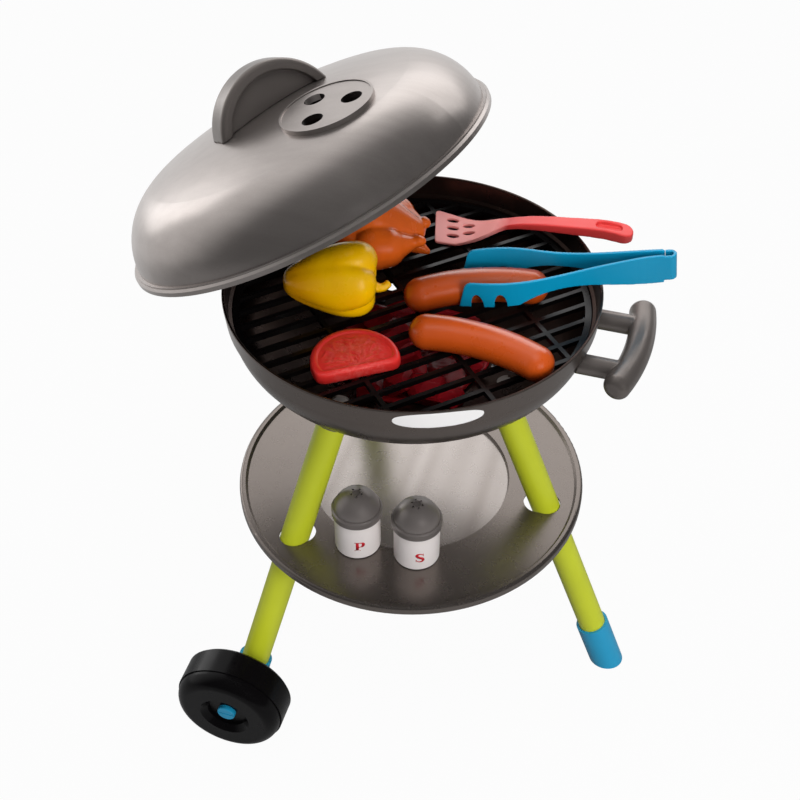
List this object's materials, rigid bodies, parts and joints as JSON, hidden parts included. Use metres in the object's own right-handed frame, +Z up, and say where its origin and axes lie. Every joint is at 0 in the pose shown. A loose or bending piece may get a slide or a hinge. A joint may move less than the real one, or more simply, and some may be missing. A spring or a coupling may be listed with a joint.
{
  "type": "toy barbecue grill",
  "caption": "Toddler's pretend kettle barbecue on wheels, with a lifted lid, grate and embers, play food, tongs, spatula, shakers and a shelf.",
  "frame": {"origin": "on the floor, under the axis of the bowl", "axes": "+Z up; +X towards the side handle and the leg with the foot; the wheels are at -X, one at +Y and one at -Y"},
  "size_m": [0.5305, 0.482, 0.705],
  "materials": {
    "bowl_plastic": "satin taupe grey with a metal fleck",
    "lid_plastic": "satin silver grey with a metal fleck",
    "handle_plastic": "fine matt grain",
    "leg_plastic": "satin lime green",
    "blue_plastic": "satin blue",
    "wheel_plastic": "satin black",
    "screw_steel": "zinc plated",
    "grate_plastic": "satin black",
    "ember_plastic": "glossy dark red, part clear",
    "shaker_plastic": "satin off-white with a printed letter",
    "cap_plastic": "satin dark grey",
    "sausage_plastic": "glossy orange brown",
    "tomato_plastic": "glossy red",
    "pepper_plastic": "glossy yellow turning brown at the tip",
    "chicken_plastic": "glossy roast brown",
    "spatula_plastic": "satin coral red",
    "tongs_plastic": "satin blue"
  },
  "bodies": {
    "stand": {"fire_bowl": "bowl_plastic", "leg_socket_foot": "handle_plastic", "leg_socket_left": "handle_plastic", "leg_socket_right": "handle_plastic", "socket_screws": "screw_steel", "leg_foot": "leg_plastic", "leg_left": "leg_plastic", "leg_right": "leg_plastic", "foot_cap": "blue_plastic", "wheel_fitting_left": "blue_plastic", "wheel_fitting_right": "blue_plastic", "axle_pin_left": "blue_plastic", "axle_pin_right": "blue_plastic", "tray": "bowl_plastic", "side_handle": "handle_plastic", "handle_screws": "screw_steel", "grate": "grate_plastic", "embers": "ember_plastic"},
    "left_wheel": {"wheel_left": "wheel_plastic"},
    "right_wheel": {"wheel_right": "wheel_plastic"},
    "lid": {"lid_dome": "lid_plastic", "lid_handle": "handle_plastic", "lid_screws": "screw_steel", "vent_plate": "lid_plastic"},
    "pepper_shaker": {"pepper_shaker_body": "shaker_plastic", "pepper_shaker_cap": "cap_plastic"},
    "salt_shaker": {"salt_shaker_body": "shaker_plastic", "salt_shaker_cap": "cap_plastic"},
    "rear_sausage": {"sausage_rear": "sausage_plastic"},
    "front_sausage": {"sausage_front": "sausage_plastic"},
    "tomato": {"tomato_slice": "tomato_plastic"},
    "yellow_pepper_food": {"yellow_pepper": "pepper_plastic"},
    "chicken": {"roast_chicken": "chicken_plastic"},
    "spatula_body": {"spatula": "spatula_plastic"},
    "tongs": {"tongs_front_arm": "tongs_plastic"},
    "tongs_far_arm": {"tongs_back_arm": "tongs_plastic"}
  },
  "joints": [
    {"name": "left_wheel_spin", "type": "hinge", "parent": "stand", "child": "left_wheel", "pos_m": [-0.138, 0.194, 0.06], "axis": [0, 1, 0], "continuous": true},
    {"name": "right_wheel_spin", "type": "hinge", "parent": "stand", "child": "right_wheel", "pos_m": [-0.138, -0.194, 0.06], "axis": [0, 1, 0], "continuous": true},
    {"name": "lid_lift", "type": "slide", "parent": "stand", "child": "lid", "axis": [0, 0, 1], "range_m": [0, 0.2]},
    {"name": "pepper_shaker_lift", "type": "slide", "parent": "stand", "child": "pepper_shaker", "axis": [0, 0, 1], "range_m": [0, 0.06]},
    {"name": "salt_shaker_lift", "type": "slide", "parent": "stand", "child": "salt_shaker", "axis": [0, 0, 1], "range_m": [0, 0.06]},
    {"name": "rear_sausage_lift", "type": "slide", "parent": "stand", "child": "rear_sausage", "axis": [0, 0, 1], "range_m": [0, 0.08]},
    {"name": "front_sausage_lift", "type": "slide", "parent": "stand", "child": "front_sausage", "axis": [0, 0, 1], "range_m": [0, 0.08]},
    {"name": "tomato_lift", "type": "slide", "parent": "stand", "child": "tomato", "axis": [0, 0, 1], "range_m": [0, 0.08]},
    {"name": "yellow_pepper_lift", "type": "slide", "parent": "stand", "child": "yellow_pepper_food", "axis": [0, 0, 1], "range_m": [0, 0.08]},
    {"name": "chicken_lift", "type": "slide", "parent": "stand", "child": "chicken", "axis": [0, 0, 1], "range_m": [0, 0.08]},
    {"name": "spatula_lift", "type": "slide", "parent": "stand", "child": "spatula_body", "axis": [0, 0, 1], "range_m": [0, 0.08]},
    {"name": "tongs_lift", "type": "slide", "parent": "stand", "child": "tongs", "axis": [0, 0, 1], "range_m": [0, 0.08]},
    {"name": "tongs_squeeze", "type": "hinge", "parent": "tongs", "child": "tongs_far_arm", "pos_m": [0.2263, 0.06269, 0.51867], "axis": [-0.1381, -0.0278, 0.99], "range_deg": [0, 2], "stiffness_Nm_per_rad": 0.8}
  ]
}
